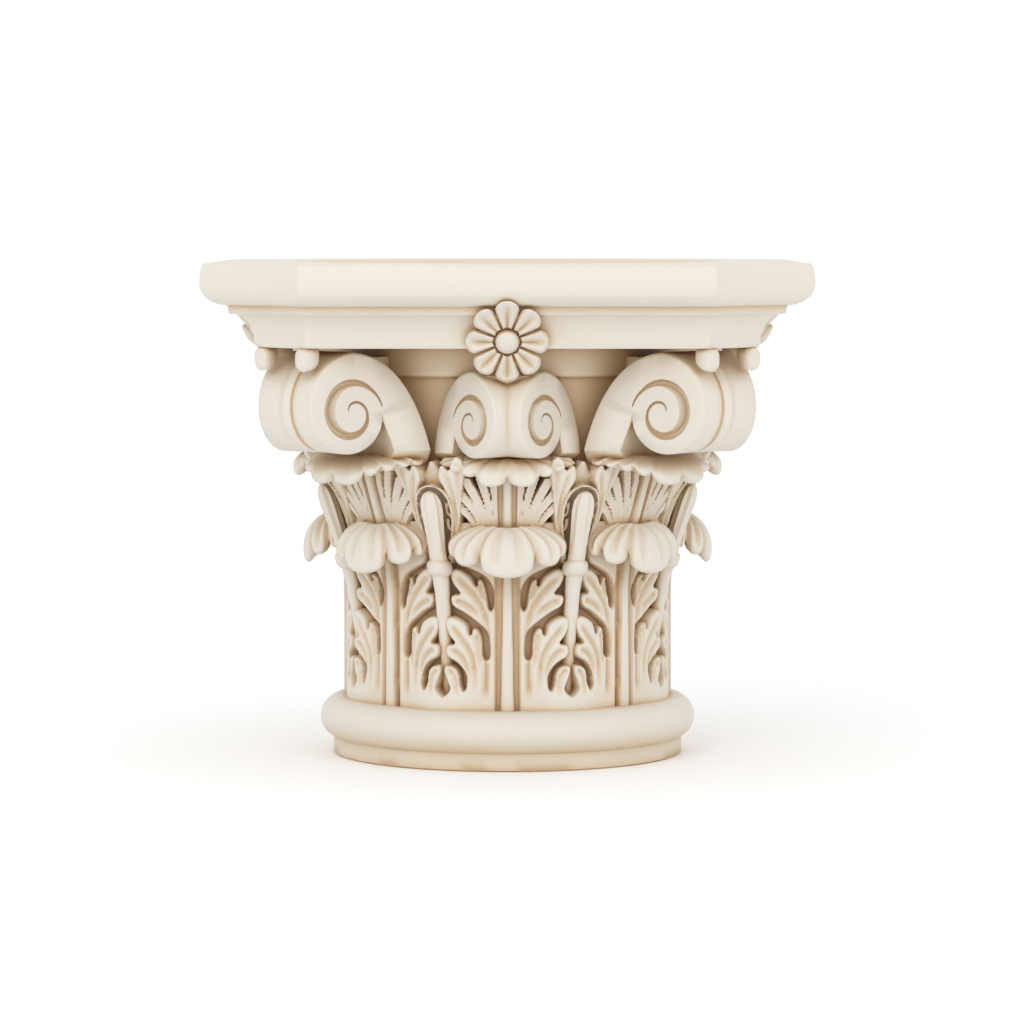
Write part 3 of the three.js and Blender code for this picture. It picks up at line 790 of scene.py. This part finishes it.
def ivory():
    """Warm ivory coat, pale on open faces and tan to brown in the recesses: partly a real tan wash and
    partly painted shade from ambient occlusion.
    """
    material = bpy.data.materials.new("ivory_cast")
    material.use_nodes = True
    nodes, links = material.node_tree.nodes, material.node_tree.links
    shader = nodes["Principled BSDF"]
    shader.inputs["Roughness"].default_value = ROUGHNESS
    place = nodes.new("ShaderNodeTexCoord")

    def closeness(distance):
        node = nodes.new("ShaderNodeAmbientOcclusion")
        node.inputs["Distance"].default_value = distance
        node.samples = 8
        return node.outputs["AO"]

    def noise(scale, detail):
        node = nodes.new("ShaderNodeTexNoise")
        node.inputs["Scale"].default_value = scale
        node.inputs["Detail"].default_value = detail
        links.new(place.outputs["Object"], node.inputs["Vector"])
        return node.outputs["Fac"]

    def maths(operation, a, b):
        node = nodes.new("ShaderNodeMath")
        node.operation = operation
        for socket, value in zip(node.inputs, (a, b)):
            if isinstance(value, (int, float)):
                socket.default_value = value
            else:
                links.new(value, socket)
        return node.outputs["Value"]

    apart = nodes.new("ShaderNodeSeparateXYZ")
    links.new(place.outputs["Object"], apart.inputs["Vector"])
    x, y, z = (apart.outputs[axis] for axis in "XYZ")
    # Nearness to the bell wall darkens the colour: partly a real wash on the relief ground, partly painted
    # shade behind the scrolls
    radius = maths("SQRT", maths("ADD", maths("MULTIPLY", x, x), maths("MULTIPLY", y, y)), 0)
    climb = maths("DIVIDE", maths("MAXIMUM", maths("SUBTRACT", z, FLARE_FROM * MM), 0), FLARE_HEIGHT * MM)
    wall = maths("ADD", maths("MULTIPLY", maths("POWER", climb, FLARE_POWER), FLARE * MM), BELL_RADIUS * MM)
    proud = maths("DIVIDE", maths("SUBTRACT", radius, wall), GROUND_DEPTH * MM)
    ground = maths("SUBTRACT", 1, maths("MAXIMUM", maths("MINIMUM", proud, 1), 0))
    # Ambient occlusion at a short and a long reach darkens the colour in hollows: painted shade in part, a
    # real tan wash in part
    near = maths("MULTIPLY", closeness(CREVICE_REACH), 0.5)
    far = maths("MULTIPLY", closeness(HOLLOW_REACH), 0.5)
    open_air = maths("SUBTRACT", maths("ADD", near, far), maths("MULTIPLY", ground, GROUND_WASH_AND_SHADE))
    patchy = maths("MULTIPLY", maths("SUBTRACT", noise(PATCH_SCALE, 5), 0.5), PATCH_SHARE)
    ramp = nodes.new("ShaderNodeValToRGB")
    links.new(maths("ADD", open_air, patchy), ramp.inputs["Fac"])
    while len(ramp.color_ramp.elements) < len(WASH_AND_SHADE_STOPS):
        ramp.color_ramp.elements.new(0.5)
    for element, (position, colour) in zip(ramp.color_ramp.elements, WASH_AND_SHADE_STOPS):
        element.position = position
        element.color = (*colour, 1)
    links.new(ramp.outputs["Color"], shader.inputs["Base Color"])
    bump = nodes.new("ShaderNodeBump")
    bump.inputs["Strength"].default_value = GRAIN_STRENGTH
    bump.inputs["Distance"].default_value = GRAIN_HEIGHT
    links.new(noise(GRAIN_SCALE, 3), bump.inputs["Height"])
    links.new(bump.outputs["Normal"], shader.inputs["Normal"])
    return material


piece.data.materials.clear()
piece.data.materials.append(ivory())
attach(piece, "root")
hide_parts("capital")

# Plain pale floor and soft white light
FLOOR_HALF = 12
FLOOR_WHITE = 0.96
WORLD_STRENGTH = 1.06
floor_corners = [(x * FLOOR_HALF, y * FLOOR_HALF, 0) for x, y in ((-1, -1), (1, -1), (1, 1), (-1, 1))]
floor_mesh = bpy.data.meshes.new("floor")
floor_mesh.from_pydata(floor_corners, [], [(0, 1, 2, 3)])
floor = bpy.data.objects.new("floor", floor_mesh)
bpy.context.scene.collection.objects.link(floor)
paper = bpy.data.materials.new("floor_paper")
paper.use_nodes = True
paper_shader = paper.node_tree.nodes["Principled BSDF"]
paper_shader.inputs["Base Color"].default_value = (FLOOR_WHITE, FLOOR_WHITE, FLOOR_WHITE, 1)
paper_shader.inputs["Roughness"].default_value = 0.9
floor_mesh.materials.append(paper)

world = bpy.data.worlds.new("studio")
world.use_nodes = True
world.node_tree.nodes["Background"].inputs["Color"].default_value = (1, 1, 1, 1)
world.node_tree.nodes["Background"].inputs["Strength"].default_value = WORLD_STRENGTH
bpy.context.scene.world = world


LAMP_SIZE = 1.6
LAMP_AIM = (0, 0, 0.25)
KEY_POWER = 16
FILL_POWER = 6


def soft_light(name, place, power):
    """A square lamp turned to the middle of the capital."""
    data = bpy.data.lights.new(name, "AREA")
    data.shape = "SQUARE"
    data.size = LAMP_SIZE
    data.energy = power
    lamp = bpy.data.objects.new(name, data)
    lamp.location = place
    way = np.array(LAMP_AIM) - np.array(place)
    lean = math.atan2(np.hypot(way[0], way[1]), -way[2])
    lamp.rotation_euler = (lean, 0, math.atan2(-way[0], way[1]))
    bpy.context.scene.collection.objects.link(lamp)


soft_light("key", (-0.9, -2.6, 2.0), KEY_POWER)
soft_light("fill", (1.6, -2.4, 1.2), FILL_POWER)

# Camera at the photograph's angle
CAMERA_DISTANCE = 3.76
CAMERA_HEIGHT = 0.468
CAMERA_ASIDE = 0.0039
PITCH = 3.93
LENS = 151.3
camera_data = bpy.data.cameras.new("camera")
camera_data.lens = LENS
camera_data.sensor_width = 36
camera = bpy.data.objects.new("camera", camera_data)
camera.location = (CAMERA_ASIDE, -CAMERA_DISTANCE, CAMERA_HEIGHT)
camera.rotation_euler = (math.radians(90 - PITCH), 0, 0)
bpy.context.scene.collection.objects.link(camera)
bpy.context.scene.camera = camera
bpy.context.scene.view_settings.view_transform = "Standard"
